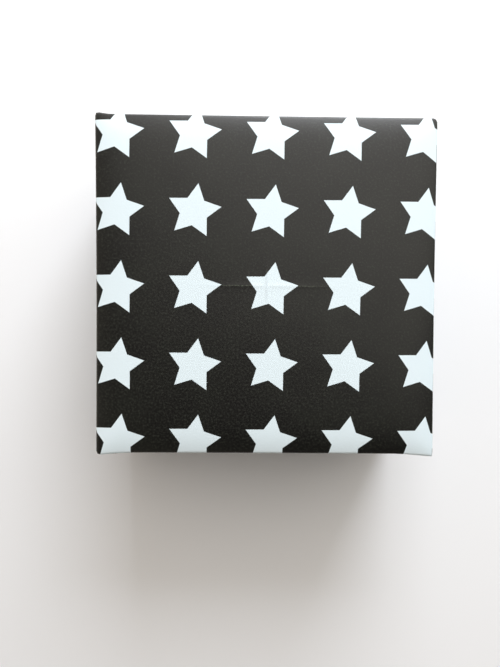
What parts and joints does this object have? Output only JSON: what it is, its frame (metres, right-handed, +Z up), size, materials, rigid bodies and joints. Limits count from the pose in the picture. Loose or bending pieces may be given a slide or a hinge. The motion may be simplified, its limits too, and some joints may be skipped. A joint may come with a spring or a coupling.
{
  "type": "folded paper gift box",
  "caption": "Square origami box with a lift-off lid, folded from black paper with white stars, with gusseted corners and linings folded over the rims.",
  "frame": {"origin": "centre of the footprint, on the surface that the closed box stands on", "axes": "+Z up out of the lid, along the lid's lift; +X to the right and +Y to the top of the lid as the picture shows it, with the lid's thick gusseted walls on +Y and -Y"},
  "size_m": [0.0742, 0.0742, 0.0371],
  "materials": {
    "lid_paper": "black uncoated paper printed with white five-pointed stars in straight rows, faint sheen, soft creases",
    "base_paper": "the same black paper with white stars as the lid"
  },
  "bodies": {
    "base": {"base": "base_paper"},
    "lid": {"lid": "lid_paper"}
  },
  "joints": [
    {"name": "lid_lift", "type": "slide", "parent": "base", "child": "lid", "axis": [0, 0, 1], "range_m": [0, 0.045]}
  ]
}
